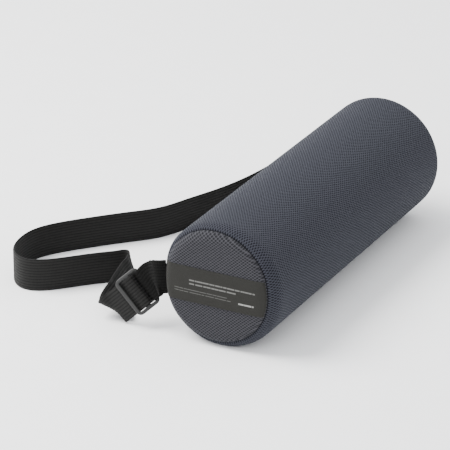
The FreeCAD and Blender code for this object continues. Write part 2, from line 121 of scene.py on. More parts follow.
class Nodes:
    """A short way to write a node tree: each call makes a node, sets its inputs and returns its output."""

    def __init__(self, name):
        self.material = bpy.data.materials.new(name)
        self.material.use_nodes = True
        self.tree = self.material.node_tree
        self.shader = self.tree.nodes["Principled BSDF"]

    def put(self, socket, value):
        if isinstance(value, bpy.types.NodeSocket):
            self.tree.links.new(value, socket)
        else:
            socket.default_value = value

    def node(self, kind, *inputs, output=0, **settings):
        made = self.tree.nodes.new("ShaderNode" + kind)
        for key, value in settings.items():
            setattr(made, key, value)
        for socket, value in zip(made.inputs, inputs):
            if value is not None:
                self.put(socket, value)
        return made.outputs[output]

    def math(self, operation, first, second=None, clamp=False):
        return self.node("Math", first, second, operation=operation, use_clamp=clamp)

    def plus(self, first, second):
        return self.math("ADD", first, second)

    def minus(self, first, second):
        return self.math("SUBTRACT", first, second)

    def times(self, first, second):
        return self.math("MULTIPLY", first, second)

    def absolute(self, value):
        return self.math("ABSOLUTE", value)

    def stripes(self, value, pitch):
        """A sine wave along value, with one cycle in each pitch."""
        return self.math("SINE", self.times(value, TURN / pitch))

    def uv(self, name="weave"):
        """The piece's flat coordinates in a map, as separate sockets; the weave's are in metres."""
        return self.split(self.node("UVMap", uv_map=name))

    def split(self, vector):
        made = self.tree.nodes.new("ShaderNodeSeparateXYZ")
        self.put(made.inputs[0], vector)
        return made.outputs[0], made.outputs[1], made.outputs[2]

    def join(self, x, y, z=0.0):
        return self.node("CombineXYZ", x, y, z)

    def object_place(self):
        return self.node("TexCoord", output=3)

    def noise(self, vector, scale, detail=2.0):
        made = self.tree.nodes.new("ShaderNodeTexNoise")
        self.put(made.inputs["Vector"], vector)
        made.inputs["Scale"].default_value = scale
        made.inputs["Detail"].default_value = detail
        return made.outputs[0]

    def mix(self, share, first, second):
        """A colour between two colours."""
        made = self.tree.nodes.new("ShaderNodeMix")
        made.data_type = "RGBA"
        self.put(made.inputs[0], share)
        self.put(made.inputs[6], first)
        self.put(made.inputs[7], second)
        return made.outputs[2]

    def ramp(self, value, low, high):
        """0 at low and before it, 1 at high and past it, smooth between; low may be the greater."""
        made = self.tree.nodes.new("ShaderNodeMapRange")
        made.interpolation_type = "SMOOTHSTEP"
        self.put(made.inputs["Value"], value)
        made.inputs["From Min"].default_value = min(low, high)
        made.inputs["From Max"].default_value = max(low, high)
        if high < low:
            made.inputs["To Min"].default_value, made.inputs["To Max"].default_value = 1, 0
        return made.outputs[0]

    def bump(self, height, depth, strength=1.0):
        made = self.tree.nodes.new("ShaderNodeBump")
        made.inputs["Strength"].default_value = strength
        made.inputs["Distance"].default_value = depth
        self.put(made.inputs["Height"], height)
        self.tree.links.new(made.outputs[0], self.shader.inputs["Normal"])

    def finish(self, colour, roughness, sheen=0.0, specular=0.5, sheen_tint=(1, 1, 1, 1)):
        self.put(self.shader.inputs["Base Color"], colour)
        self.put(self.shader.inputs["Roughness"], roughness)
        self.shader.inputs["Sheen Weight"].default_value = sheen
        self.shader.inputs["Sheen Roughness"].default_value = 0.45
        self.shader.inputs["Sheen Tint"].default_value = sheen_tint
        self.shader.inputs["Specular IOR Level"].default_value = specular
        return self.material


def rgb(red, green, blue):
    return (red, green, blue, 1)


def floor_material():
    nodes = Nodes("pale_floor")
    grain = nodes.noise(nodes.object_place(), 40)
    return nodes.finish(nodes.mix(grain, rgb(0.93, 0.93, 0.93), rgb(0.96, 0.96, 0.96)), 0.8, specular=0.1)


def mesh_cloth(name, long_pitch, short_pitch, grid_turn, closed, strand, shade, cell_floor, pit):
    """Spacer mesh: strands crossing in a diamond lattice, with a dark pit in each diamond's floor.

    The diamonds are long_pitch by short_pitch, and closed says how much of each the strands cover.
    """
    nodes = Nodes(name)
    along, around, _ = nodes.uv()
    place = nodes.join(along, around)
    sway = nodes.times(nodes.minus(nodes.noise(place, 60), 0.5), 0.8 * MM)
    cos_turn, sin_turn = cos(grid_turn), sin(grid_turn)
    first = nodes.plus(nodes.times(along, cos_turn), nodes.times(around, sin_turn))
    second = nodes.minus(nodes.times(around, cos_turn), nodes.times(along, sin_turn))
    first = nodes.times(nodes.plus(first, sway), pi / long_pitch)
    second = nodes.times(nodes.minus(second, sway), pi / short_pitch)
    crossings = (nodes.plus(first, second), nodes.minus(first, second))
    gaps = [nodes.absolute(nodes.math("SINE", strands)) for strands in crossings]
    uneven = nodes.times(nodes.minus(nodes.noise(place, 380), 0.5), 0.35)
    cell = nodes.plus(nodes.times(gaps[0], gaps[1]), uneven)
    open_share = nodes.ramp(cell, closed - 0.2, closed + 0.2)
    deep_share = nodes.ramp(cell, closed + 0.15, closed + 0.6)
    fibres = nodes.noise(nodes.join(nodes.times(first, 0.004), nodes.times(second, 0.001)), 900, 1)
    patch = nodes.noise(place, 26, 3)
    yarn = nodes.mix(fibres, shade, strand)
    yarn = nodes.mix(nodes.times(patch, 0.45), yarn, shade)
    colour = nodes.mix(deep_share, nodes.mix(open_share, yarn, cell_floor), pit)
    height = nodes.minus(nodes.times(fibres, 0.2), nodes.plus(open_share, deep_share))
    nodes.bump(height, 0.22 * MM, 0.85)
    return nodes.finish(colour, 0.88, sheen=0.05, specular=0.13, sheen_tint=rgb(0.8, 0.86, 1.0))


def webbing_cloth(name, painted_light_level):
    """Ribbed elastic webbing: fine cross threads over lengthwise ribs, which the mesh itself holds. A light
    level below 1 darkens a whole piece's colour, sheen and specular: painted shade. The grooves between the
    ribs are painted nearly black: painted shade.
    """
    nodes = Nodes(name)
    along, across, _ = nodes.uv()
    wander = nodes.times(nodes.noise(nodes.join(along, across), 160), 0.5 * MM)
    cross = nodes.stripes(nodes.plus(along, wander), 1.0 * MM)
    twill = nodes.stripes(nodes.plus(along, across), 1.4 * MM)
    weave = nodes.plus(nodes.times(cross, 0.6), nodes.times(twill, 0.4))
    level = nodes.ramp(weave, -0.9, 0.9)
    lint = nodes.ramp(nodes.noise(nodes.join(along, nodes.times(across, 6.0)), 900, 3), 0.55, 0.8)
    ridge, _, _ = nodes.uv("ribs")
    # the light level scales the webbing's colours down: painted shade where it is below 1
    low, high = (rgb(*(painted_light_level * channel for channel in colour))
                 for colour in ((0.0045, 0.0045, 0.0043), (0.0135, 0.013, 0.012)))
    base = nodes.mix(level, low, high)
    # painted shade: the grooves between the ribs are mixed towards near black
    base = nodes.mix(nodes.ramp(ridge, 0.1, 0.95), rgb(0.001, 0.001, 0.001), base)
    colour = nodes.mix(nodes.times(lint, 0.12 * painted_light_level), base, rgb(0.03, 0.03, 0.028))
    nodes.bump(level, 0.16 * MM, 0.8)
    return nodes.finish(colour, 0.72, sheen=0.03 * painted_light_level, specular=0.15 * painted_light_level)


def label_ribbon():
    """Matt woven ribbon, printed with plain pale rules: no words and no mark."""
    nodes = Nodes("label_ribbon")
    along, across, _ = nodes.uv()
    weft = nodes.stripes(across, 0.5 * MM)
    warp = nodes.stripes(along, 0.42 * MM)
    weave = nodes.ramp(nodes.times(weft, warp), -0.6, 0.6)
    cloudy = nodes.noise(nodes.join(along, across), 70, 3)
    base = nodes.mix(weave, rgb(0.0125, 0.012, 0.0105), rgb(0.0195, 0.019, 0.0165))
    base = nodes.mix(nodes.times(cloudy, 0.5), base, rgb(0.0125, 0.0125, 0.0115))
    # each rule: height on the ribbon, half thickness and both ends, from +Y to -Y, in mm; then its strength
    rules = ((3.4, 0.55, 21, -31, 0.13), (0.6, 0.55, 21, -16, 0.13), (-4.2, 0.3, 33, -9, 0.07),
             (-6.2, 0.3, 33, -12, 0.07), (-6.6, 0.6, -18, -30, 0.3))
    printed = 0.0
    for height, half, start, end, strength in rules:
        up = nodes.absolute(nodes.minus(across, height * MM))
        sideways = nodes.absolute(nodes.minus(along, (start + end) / 2 * MM))
        half_run = (start - end) / 2
        inside = nodes.times(nodes.ramp(up, (half + 0.12) * MM, (half - 0.12) * MM),
                             nodes.ramp(sideways, (half_run + 0.1) * MM, (half_run - 0.1) * MM))
        printed = nodes.plus(nodes.times(inside, strength), printed)
    row = nodes.math("FLOOR", nodes.plus(nodes.times(across, 1 / (2.4 * MM)), 0.25))
    breaks = nodes.ramp(nodes.noise(nodes.join(along, nodes.times(row, 0.05)), 640, 1), 0.38, 0.44)
    colour = nodes.mix(nodes.times(printed, breaks), base, rgb(0.75, 0.75, 0.72))
    nodes.bump(weave, 0.08 * MM, 0.7)
    return nodes.finish(colour, 0.8, sheen=0.02, specular=0.15)


# near black: the thread's own colour, and also the painted shade of the seams' grooves on the hems and cut
# edges that take it
def thread_and_seam_shade_material():
    nodes = Nodes("seam_thread")
    ply = nodes.noise(nodes.object_place(), 3500, 1)
    nodes.bump(ply, 0.1 * MM, 0.6)
    colour = nodes.mix(ply, rgb(0.003, 0.003, 0.004), rgb(0.00135, 0.00135, 0.0018))
    return nodes.finish(colour, 0.8, specular=0.08)


def moulded_plastic(name, dark, worn_and_highlit, roughness):
    """Satin moulded plastic: paler along its edges, which is painted highlight as well as wear, and paler and
    rougher in scuffed patches.
    """
    nodes = Nodes(name)
    place = nodes.object_place()
    grain = nodes.noise(place, 1800, 2)
    scuff = nodes.ramp(nodes.noise(place, 260, 4), 0.52, 0.72)
    pointiness = nodes.node("NewGeometry", output=7)
    # painted highlight and wear: convex edges are mixed towards the paler colour
    edge_highlight_and_rub = nodes.ramp(pointiness, 0.5, 0.62)
    share = nodes.math("ADD", nodes.times(scuff, 0.25), nodes.times(edge_highlight_and_rub, 0.55), clamp=True)
    nodes.bump(grain, 0.05 * MM, 0.5)
    rough = nodes.plus(nodes.times(scuff, 0.12), roughness)
    return nodes.finish(nodes.mix(share, dark, worn_and_highlit), rough, specular=0.5)


def enamelled_metal():
    nodes = Nodes("black_enamel")
    place = nodes.object_place()
    chips = nodes.ramp(nodes.noise(place, 700, 4), 0.66, 0.72)
    nodes.bump(nodes.noise(place, 2400, 2), 0.03 * MM, 0.4)
    nodes.shader.inputs["Metallic"].default_value = 0.35
    return nodes.finish(nodes.mix(chips, rgb(0.008, 0.008, 0.009), rgb(0.10, 0.095, 0.09)), 0.34)


def tape_cloth():
    """Zip tape: a fine herringbone weave along the roll."""
    nodes = Nodes("zip_tape")
    x, y, z = nodes.split(nodes.object_place())
    side = nodes.math("PINGPONG", nodes.plus(z, y), 0.8 * MM)
    bone = nodes.stripes(nodes.plus(x, side), 0.7 * MM)
    level = nodes.ramp(bone, -0.7, 0.7)
    nodes.bump(level, 0.08 * MM, 0.8)
    colour = nodes.mix(level, rgb(0.005, 0.0055, 0.007), rgb(0.014, 0.015, 0.020))
    return nodes.finish(colour, 0.8, sheen=0.05)


def foam_material():
    nodes = Nodes("open_cell_foam")
    place = nodes.object_place()
    cells = nodes.tree.nodes.new("ShaderNodeTexVoronoi")
    nodes.put(cells.inputs["Vector"], place)
    cells.inputs["Scale"].default_value = 900
    pores = nodes.ramp(cells.outputs[0], 0.1, 0.5)
    nodes.bump(pores, 0.4 * MM)
    colour = nodes.mix(pores, rgb(0.012, 0.012, 0.013), rgb(0.04, 0.04, 0.043))
    return nodes.finish(colour, 0.95, specular=0.1)


# ---- mesh building blocks

def make_object(name, vertices, faces, material, uvs=None):
    """An object from plain lists; uvs is {map name: one (u, v) for each corner of each face}."""
    mesh = bpy.data.meshes.new(name)
    mesh.from_pydata([tuple(v) for v in vertices], [], faces)
    for map_name, corners in (uvs or {}).items():
        layer = mesh.uv_layers.new(name=map_name)
        layer.data.foreach_set("uv", np.asarray(corners, dtype=np.float32).ravel())
    mesh.validate()
    mesh.shade_smooth()
    mesh.materials.append(material)
    return add_object(name, mesh)


def evaluated(piece):
    return piece.evaluated_get(bpy.context.evaluated_depsgraph_get())


def surface_of(piece):
    """A search tree for rays that meet a piece."""
    return BVHTree.FromObject(piece, bpy.context.evaluated_depsgraph_get())


def apply_modifiers(piece):
    """Turns a piece's modifiers into plain mesh."""
    mesh = bpy.data.meshes.new_from_object(evaluated(piece))
    piece.modifiers.clear()
    piece.data = mesh


# a capsule's sides, and its rings as (share of its length, share of its radius)
SIDES = 6
CAPSULE_RINGS = ((0.0, 0.35), (0.1, 0.8), (0.28, 1.0), (0.5, 1.05), (0.72, 1.0), (0.9, 0.8), (1.0, 0.35))


def capsules(name, runs, radius, material, flatten, normals, bow):
    """Short threads or teeth in one mesh: each run is (start, end); they bulge by bow along their normal."""
    vertices, faces = [], []
    for (start, end), normal in zip(runs, normals):
        along = (end - start).normalized()
        normal = (normal - along * normal.dot(along)).normalized()
        across = along.cross(normal)
        base = len(vertices)
        for share, swell in CAPSULE_RINGS:
            centre = start.lerp(end, share) + normal * (bow * sin(pi * share))
            for side in range(SIDES):
                turn = TURN * side / SIDES
                vertices.append(centre + across * (radius * swell * cos(turn))
                                + normal * (radius * flatten * swell * sin(turn)))
        for ring in range(len(CAPSULE_RINGS) - 1):
            for side in range(SIDES):
                a, b = (base + ring * SIDES + s % SIDES for s in (side, side + 1))
                faces.append((a, b, b + SIDES, a + SIDES))
        faces.append(tuple(base + side for side in reversed(range(SIDES))))
        last = base + (len(CAPSULE_RINGS) - 1) * SIDES
        faces.append(tuple(last + side for side in range(SIDES)))
    return make_object(name, vertices, faces, material)


def cubic_through(knots, values):
    """A function of the knots' parameter: the smooth (natural cubic) curve through values."""
    knots, values = np.asarray(knots, float), np.asarray(values, float)
    count = len(knots)
    step = np.diff(knots)
    matrix, right = np.eye(count), np.zeros_like(values)
    for i in range(1, count - 1):
        matrix[i, i - 1:i + 2] = step[i - 1], 2 * (step[i - 1] + step[i]), step[i]
        right[i] = 6 * ((values[i + 1] - values[i]) / step[i] - (values[i] - values[i - 1]) / step[i - 1])
    bend = np.linalg.solve(matrix, right)

    def value(place):
        i = int(np.clip(np.searchsorted(knots, place) - 1, 0, count - 2))
        low, high, width = place - knots[i], knots[i + 1] - place, step[i]
        return ((bend[i] * high ** 3 + bend[i + 1] * low ** 3) / (6 * width)
                + (values[i] / width - bend[i] * width / 6) * high
                + (values[i + 1] / width - bend[i + 1] * width / 6) * low)

    return value


def bell(distance, width):
    """1 at no distance, falling smoothly to 0.37 at width and to nearly nothing at twice that."""
    return exp(-(distance / width) ** 2)


def repair(mesh, weld=False, join_flat=False, face_out=False):
    """Welds doubled corners, joins faces that lie flat to each other, and turns faces outward."""
    bm = bmesh.new()
    bm.from_mesh(mesh)
    if weld:
        bmesh.ops.remove_doubles(bm, verts=bm.verts, dist=0.001 * MM)
    if join_flat:
        bmesh.ops.dissolve_limit(bm, angle_limit=radians(2), verts=bm.verts, edges=bm.edges)
    if face_out:
        bmesh.ops.recalc_face_normals(bm, faces=bm.faces)
    bm.to_mesh(mesh)
    bm.free()


def finish_piece(piece, body, node):
    """Rides on a body and stands for a CAD node, which it hides."""
    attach(piece, body)
    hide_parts(node)


# ---- roll cover

ZIP_ANGLE = radians(15)
SEGMENTS = 120  # patches round the roll
SLIT_SEGMENTS = 5  # how many of them the zip's slit spans
SLIT_HALF_WIDTH = 6.5 * MM
SLIT_HALF = SLIT_HALF_WIDTH / RADIUS  # the same, as an angle
SLIT_END = 105 * MM
SHEET = 0.9 * CLOTH  # the mesh, stretched a little thinner
FLOOR_ROOM = 0.02 * MM
HUB = 3 * MM  # radius of the ring nearest an end's centre
PANEL_GAP, ROUND_GAP, SIDE_GAP = 4 * MM, 3 * MM, 5.5 * MM  # between rings, away from the seams
NEAR_SEAM = [d * MM for d in (0.0, 0.6, 1.1, 1.5, 2.0, 2.7, 3.6, 4.8, 6.2)]


def spread(low, high, gap):
    """Evenly spaced values from low to high, about gap apart."""
    count = max(1, round((high - low) / gap))
    return [low + (high - low) * i / count for i in range(count + 1)]


def seam_length(seam, rounding):
    """Distance along the outline from an end's centre to the seam."""
    flat = RADIUS - rounding
    return flat + rounding * asin((seam - flat) / rounding)


def outline(end_x, rounding, length):
    """The roll's outline at a distance from an end's centre: (x, radius)."""
    inward = -1 if end_x > 0 else 1
    flat = RADIUS - rounding
    if length <= flat:
        return end_x, length
    turn = (length - flat) / rounding
    if turn <= pi / 2:
        return end_x + inward * rounding * (1 - cos(turn)), flat + rounding * sin(turn)
    return end_x + inward * (rounding + length - flat - rounding * pi / 2), RADIUS


def ring_turn(place):
    """Angle of a segment line, from +Y towards +Z; the first few segments span the zip's slit."""
    if place <= SLIT_SEGMENTS:
        return ZIP_ANGLE + SLIT_HALF * (2 * place / SLIT_SEGMENTS - 1)
    rest = (place - SLIT_SEGMENTS) / (SEGMENTS - SLIT_SEGMENTS)
    return ZIP_ANGLE + SLIT_HALF + (TURN - 2 * SLIT_HALF) * rest


def wobble(turn, seed):
    """A smooth uneven wave round the roll, between about -1 and 1."""
    return (sin(turn * 5 + seed) + 0.7 * sin(turn * 9 + seed * 2.3)
            + 0.4 * sin(turn * 17 + seed * 4.1)) / 2.1


class Cover:
    """The closed cover as rings of points, from the front end's centre to the rear end's.

    A ring is (kind, place). On an end, place is the distance from its centre by the outline; on the side, x.
    """

    def __init__(self):
        front, rear = seam_length(FRONT_SEAM, FRONT_ROUND), seam_length(REAR_SEAM, REAR_ROUND)
        front_turned = RADIUS - FRONT_ROUND * (1 - pi / 2) + 1 * MM
        rear_turned = max(RADIUS - REAR_ROUND * (1 - pi / 2), rear + 12 * MM) + 1 * MM
        self.rings = [("front", s) for s in spread(HUB, front - 8 * MM, PANEL_GAP)]
        self.rings += [("front", front - d) for d in reversed(NEAR_SEAM[1:])]
        self.front_seam = len(self.rings)
        self.rings += [("front", front + d) for d in NEAR_SEAM]
        self.rings += [("front", s) for s in spread(front + 8.5 * MM, front_turned + 3 * MM, ROUND_GAP)]
        start = outline(FRONT_X, FRONT_ROUND, self.rings[-1][1])[0]
        end = outline(REAR_X, REAR_ROUND, rear_turned)[0]
        for low, high in ((start + 4 * MM, -SLIT_END), (SIDE_GAP - SLIT_END, SLIT_END),
                          (SLIT_END + SIDE_GAP, end)):
            self.rings += [("side", x) for x in spread(low, high, SIDE_GAP)]
        self.rings += [("rear", s) for s in reversed(spread(rear + 8 * MM, rear_turned - 2 * MM, ROUND_GAP))]
        self.rings += [("rear", rear + d) for d in reversed(NEAR_SEAM[1:])]
        self.rear_seam = len(self.rings)
        self.rings += [("rear", rear - d) for d in NEAR_SEAM]
        self.rings += [("rear", s) for s in reversed(spread(HUB, rear - 8 * MM, PANEL_GAP))]
        self.seam_places = {"front": front, "rear": rear}
        self.points = [Vector((FRONT_X, 0, AXIS_Z))]
        for ring in range(len(self.rings)):
            for segment in range(SEGMENTS):
                self.points.append(self.place(ring, ring_turn(segment)))
        self.points.append(Vector((REAR_X, 0, AXIS_Z)))

    def station(self, ring, turn):
        """(x, radius) of a ring; the front panel is sewn on a little off centre, towards the strap."""
        kind, place = self.rings[ring]
        if kind == "side":
            return place, RADIUS
        if kind == "rear":
            return outline(REAR_X, REAR_ROUND, place)
        shift = 0.6 * MM + 3.0 * MM * cos(turn - radians(20)) + 0.2 * MM * wobble(turn, 1.3)
        share = bell(place - self.seam_places["front"], 11 * MM)
        return outline(FRONT_X, FRONT_ROUND, place + shift * share)

    def along(self, ring):
        """Where a ring of the sleeve lies along its cloth: x, unrolled at the rounded ends."""
        kind, place = self.rings[ring]
        if kind == "side":
            return place
        end, rounding = (FRONT_X, FRONT_ROUND) if kind == "front" else (REAR_X, REAR_ROUND)
        past = place - (RADIUS - rounding + rounding * pi / 2)
        return end + rounding + past if kind == "front" else end - rounding - past

    def place(self, ring, turn):
        x, radius = self.station(ring, turn)
        return Vector((x, radius * cos(turn), AXIS_Z + radius * sin(turn)))

    def outward(self, ring, turn):
        """Direction out of the cover at a ring."""
        before = self.station(max(ring - 1, 0), turn)
        after = self.station(min(ring + 1, len(self.rings) - 1), turn)
        along = Vector((after[0] - before[0], after[1] - before[1])).normalized()
        return Vector((-along.y, along.x * cos(turn), along.x * sin(turn)))

    def index(self, ring, segment):
        return 1 + ring * SEGMENTS + segment % SEGMENTS

    def quad(self, ring, segment):
        """A patch's (ring, segment) corners, as a face that looks inward; its thickness goes outside."""
        return [(ring, segment), (ring + 1, segment), (ring + 1, segment + 1), (ring, segment + 1)]

    def all_faces(self):
        last = len(self.rings) - 1
        faces = [(0, self.index(0, s), self.index(0, s + 1)) for s in range(SEGMENTS)]
        faces += [tuple(self.index(*corner) for corner in self.quad(ring, s))
                  for ring in range(last) for s in range(SEGMENTS)]
        rear_centre = len(self.points) - 1
        faces += [(rear_centre, self.index(last, s + 1), self.index(last, s)) for s in range(SEGMENTS)]
        return faces

    def draw_tight(self, cap):
        """Cloth simulation: the stretched cover draws in between its seams, and by no more than cap."""
        mesh = bpy.data.meshes.new("cover_sim")
        mesh.from_pydata([tuple(p) for p in self.points], [], self.all_faces())
        piece = add_object("cover_sim", mesh)
        sewn = [self.index(seam, s) for seam in (self.front_seam, self.rear_seam) for s in range(SEGMENTS)]
        piece.vertex_groups.new(name="sewn").add(sewn, 1.0, "REPLACE")
        cloth = piece.modifiers.new("cloth", "CLOTH")
        settings = cloth.settings
        settings.quality, settings.mass = 5, 0.3
        settings.tension_stiffness = settings.compression_stiffness = 40
        settings.shear_stiffness, settings.bending_stiffness = 10, 1.5
        settings.vertex_group_mass = "sewn"
        settings.use_pressure, settings.uniform_pressure_force = True, 4
        settings.effector_weights.gravity = 0
        cloth.collision_settings.use_collision = False
        last_frame = 20
        cloth.point_cache.frame_start, cloth.point_cache.frame_end = 1, last_frame
        for number in range(1, last_frame + 1):
            bpy.context.scene.frame_set(number)
        for i, vertex in enumerate(evaluated(piece).data.vertices):
            move = vertex.co - self.points[i]
            self.points[i] = self.points[i] + move * min(1.0, cap / max(move.length, 1e-9))
        bpy.context.scene.frame_set(1)
        bpy.data.objects.remove(piece)
        bpy.data.meshes.remove(mesh)

    def draw_in_seams(self):
        """Sinks both seams, puckers the cloth beside them, and pulls in the rim where the tab is sewn."""
        for ring, (kind, place) in enumerate(self.rings):
            if kind == "side":
                continue
            away = place - self.seam_places[kind]
            sink = 1.5 * MM * bell(away, 1.1 * MM) + 0.7 * MM * bell(away, 4 * MM)
            pucker = 0.07 * MM * bell(away, 4.5 * MM)
            seed = 0.6 if kind == "front" else 2.9
            for segment in range(SEGMENTS):
                turn = ring_turn(segment)
                pull = 0.0
                if kind == "front":
                    off = (turn + pi) % TURN - pi
                    pull = 1.9 * MM * bell(off, 0.40) * bell(away - 1 * MM, 10 * MM)
                uneven = pucker * (0.6 * sin(turn * 47 + seed * 5) + wobble(turn * 2, seed))
                self.points[self.index(ring, segment)] += self.outward(ring, turn) * (uneven - sink - pull)

    def press_flat(self):
        """Rests the roll on the floor, with room under it for the cloth's own thickness."""
        for point in self.points:
            point.z = max(point.z, SHEET + FLOOR_ROOM)

    def piece(self, name, material, edge, first, last, skip=None, hub=None, flat=False):
        """The cloth between two rings: skip leaves patches out, and hub is the centre point of an end.

        The hem right beside a seam takes the material edge, near black: painted shade along the seam's groove.
        A flat piece's weave runs straight across it.
        """
        used, vertices, faces, uvs, finishes = {}, [], [], [], []

        def corner(key):
            if key not in used:
                used[key] = len(vertices)
                vertices.append(self.points[key])
            return used[key]

        def flat_place(ring, segment):
            point = self.points[self.index(ring, segment)]
            if flat:
                return point.y, point.z - AXIS_Z
            return self.along(ring), RADIUS * ring_turn(segment)

        for ring in range(first, last):
            for segment in range(SEGMENTS):
                if skip and skip(ring, segment):
                    continue
                corners = self.quad(ring, segment)
                faces.append(tuple(corner(self.index(*c)) for c in corners))
                uvs += [flat_place(*c) for c in corners]
                # painted shade: the ring of faces nearest each seam takes the near-black edge material
                in_painted_seam_shade = min(abs(ring + 0.5 - seam) for seam in (self.front_seam, self.rear_seam)) < 2
                finishes.append(int(in_painted_seam_shade))
        if hub is not None:
            ring = first if hub == 0 else last
            for segment in range(SEGMENTS):
                pair = [segment, segment + 1] if hub == 0 else [segment + 1, segment]
                faces.append((corner(hub),) + tuple(corner(self.index(ring, s)) for s in pair))
                uvs += [(0.0, 0.0)] + [flat_place(ring, s) for s in pair]
                finishes.append(0)
        cloth = make_object(name, vertices, faces, material, {"weave": uvs})
        cloth.data.materials.append(edge)
        cloth.data.polygons.foreach_set("material_index", finishes)
        subdivision = cloth.modifiers.new("refine", "SUBSURF")
        subdivision.levels = subdivision.render_levels = 1
        subdivision.boundary_smooth = "PRESERVE_CORNERS"
        apply_modifiers(cloth)
        thicken(cloth)
        return cloth


def thicken(piece):
    """Gives cloth its thickness behind its faces; its cut edges take the piece's second material, near black:
    painted shade in the gaps along them.
    """
    solid = piece.modifiers.new("cloth", "SOLIDIFY")
    solid.thickness, solid.offset, solid.material_offset_rim = SHEET, -1, 1
    solid.use_even_offset = True
    apply_modifiers(piece)


def build_cover(edge):
    cover = Cover()
    cover.draw_tight(0.8 * MM)
    cover.draw_in_seams()
    cover.press_flat()
    sleeve_cloth = mesh_cloth(
        "sleeve_mesh", 3.3 * MM, 2.1 * MM, grid_turn=0.0, closed=0.36,
        strand=rgb(0.040, 0.042, 0.053), shade=rgb(0.022, 0.023, 0.030),
        cell_floor=rgb(0.010, 0.0105, 0.015), pit=rgb(0.002, 0.002, 0.004))
    panel_cloth = mesh_cloth(
        "panel_mesh", 3.1 * MM, 2.2 * MM, grid_turn=radians(-7), closed=0.26,
        strand=rgb(0.054, 0.0525, 0.060), shade=rgb(0.032, 0.0315, 0.036),
        cell_floor=rgb(0.018, 0.018, 0.0205), pit=rgb(0.009, 0.009, 0.011))

    def in_slit(ring, segment):
        kind, x = cover.rings[ring]
        hair = 0.001 * MM
        return segment < SLIT_SEGMENTS and kind == "side" and -SLIT_END - hair < x < SLIT_END - hair

    sleeve = cover.piece("mesh_sleeve", sleeve_cloth, edge, cover.front_seam + 1, cover.rear_seam - 1,
                         skip=in_slit)
    front = cover.piece("front_panel", panel_cloth, edge, 0, cover.front_seam - 1, hub=0, flat=True)
    rear = cover.piece("rear_panel", panel_cloth, edge, cover.rear_seam + 1, len(cover.rings) - 1,
                       hub=len(cover.points) - 1, flat=True)
    finish_piece(sleeve, "roll", "cover_sleeve")
    finish_piece(front, "roll", "front_end_panel")
    finish_piece(rear, "roll", "rear_end_panel")
    return cover, sleeve, front


# ---- seam stitches and label

def build_seam_stitches(cover, ring, name, node, count, material):
    """The seam's thread, as short stitches end to end at the bottom of the groove."""
    half_share = 0.44  # half a stitch, as a share of the stitches' spacing
    depth = 0.15  # in millimetres
    runs, normals = [], []
    for step in range(count):
        place = step * SEGMENTS / count
        segment, share = int(place), place - int(place)
        turn = ring_turn(place)
        before, after = (cover.points[cover.index(ring, s)] for s in (segment, segment + 1))
        centre = before.lerp(after, share)
        around = Vector((0, -sin(turn), cos(turn)))
        half = around * (TURN * cover.station(ring, turn)[1] / count * half_share)
        out = cover.outward(ring, turn)
        runs.append((centre - half - out * depth * MM, centre + half - out * depth * MM))
        normals.append(out)
    stitches = capsules(name, runs, 0.32 * MM, material, 1.0, normals, bow=0.08 * MM)
    finish_piece(stitches, "roll", node)


def ribbon_faces(columns, rows):
    """A closed ribbon's faces: two layers of corners, joined round their border."""
    across = rows + 1
    size = (columns + 1) * across
    faces = []
    for layer in (0, 1):
        for column in range(columns):
            for row in range(rows):
                a = layer * size + column * across + row
                quad = (a, a + 1, a + across + 1, a + across)
                faces.append(quad if layer else quad[::-1])
    border = [column * across for column in range(columns + 1)]
    border += [columns * across + row for row in range(1, across)]
    border += [column * across + rows for column in reversed(range(columns))]
    border += [row for row in reversed(range(1, rows))]
    for first, second in zip(border, border[1:] + border[:1]):
        faces.append((first, second, second + size, first + size))
    return faces


def build_label(cover, panel):
    """The ribbon across the front panel: it follows the panel and dives into the seam at both ends."""
    low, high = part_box("end_label")
    half_width = (high[2] - low[2]) / 2
    tree = surface_of(panel)

    def reach(height, way):
        """How far the ribbon runs towards +Y or -Y (way is 1 or -1) at a height, to just inside the seam."""
        far = FRONT_SEAM
        for _ in range(4):
            turn = atan2(height, way * far) % TURN
            far = sqrt((cover.station(cover.front_seam, turn)[1] - 0.75 * MM) ** 2 - height ** 2)
        return far

    def surface_x(y, z):
        """The panel's x at a point; past the panel's edge, a slope down into the groove."""
        for back in range(8):
            past = back * 0.3 * MM
            inner = y - copysign(past, y)
            hit, *_ = tree.ray_cast(Vector((FRONT_X - 50 * MM, inner, z)), Vector((1, 0, 0)))
            if hit and hit.x < FRONT_X + 10 * MM:
                return hit.x + past
        return FRONT_X + 3 * MM

    columns, rows = 96, 30
    thickness, hold = 0.38 * MM, 0.12 * MM  # hold is how far the ribbon stands off the panel
    end_share = 0.01  # the last part of its length, which is tucked in
    vertices = []
    for layer in (0, 1):
        for column in range(columns + 1):
            for row in range(rows + 1):
                height = half_width * (2 * row / rows - 1)
                z = AXIS_Z + height
                near, far = reach(height, -1), reach(height, 1)
                y = -near + (near + far) * column / columns
                tuck = 0.3 * MM * max(0.0, 1 - min(column, columns - column) / columns / end_share)
                wave = 0.10 * MM * sin(y * 160 + z * 90) + 0.06 * MM * sin(y * 410 - z * 230)
                selvedge = 0.10 * MM * bell(min(row, rows - row), 1.2)
                out = hold + wave * 0.6 - tuck + (thickness + selvedge if layer else -0.25 * MM)
                vertices.append(Vector((surface_x(y, z) - out, y, z)))
    faces = ribbon_faces(columns, rows)
    uvs = [(vertices[v].y, vertices[v].z - AXIS_Z) for face in faces for v in face]
    label = make_object("woven_label", vertices, faces, label_ribbon(), {"weave": uvs})
    repair(label.data, face_out=True)
    finish_piece(label, "roll", "end_label")


# ---- zip

ZIP_END = 100 * MM  # half the length of its teeth
TOOTH_PITCH = 1.35 * MM
STITCH_PITCH, STITCH_LENGTH, STITCHES = 3.5 * MM, 2.7 * MM, 60
STITCH_INSET = 1.7 * MM  # from the slit's edge to the stitches


def zip_point(x, out, side):
    """A point along the roll, out from its axis, and to the side of the zip's middle."""
    cosine, sine = cos(ZIP_ANGLE), sin(ZIP_ANGLE)
    return Vector((x, out * cosine - side * sine, AXIS_Z + out * sine + side * cosine))


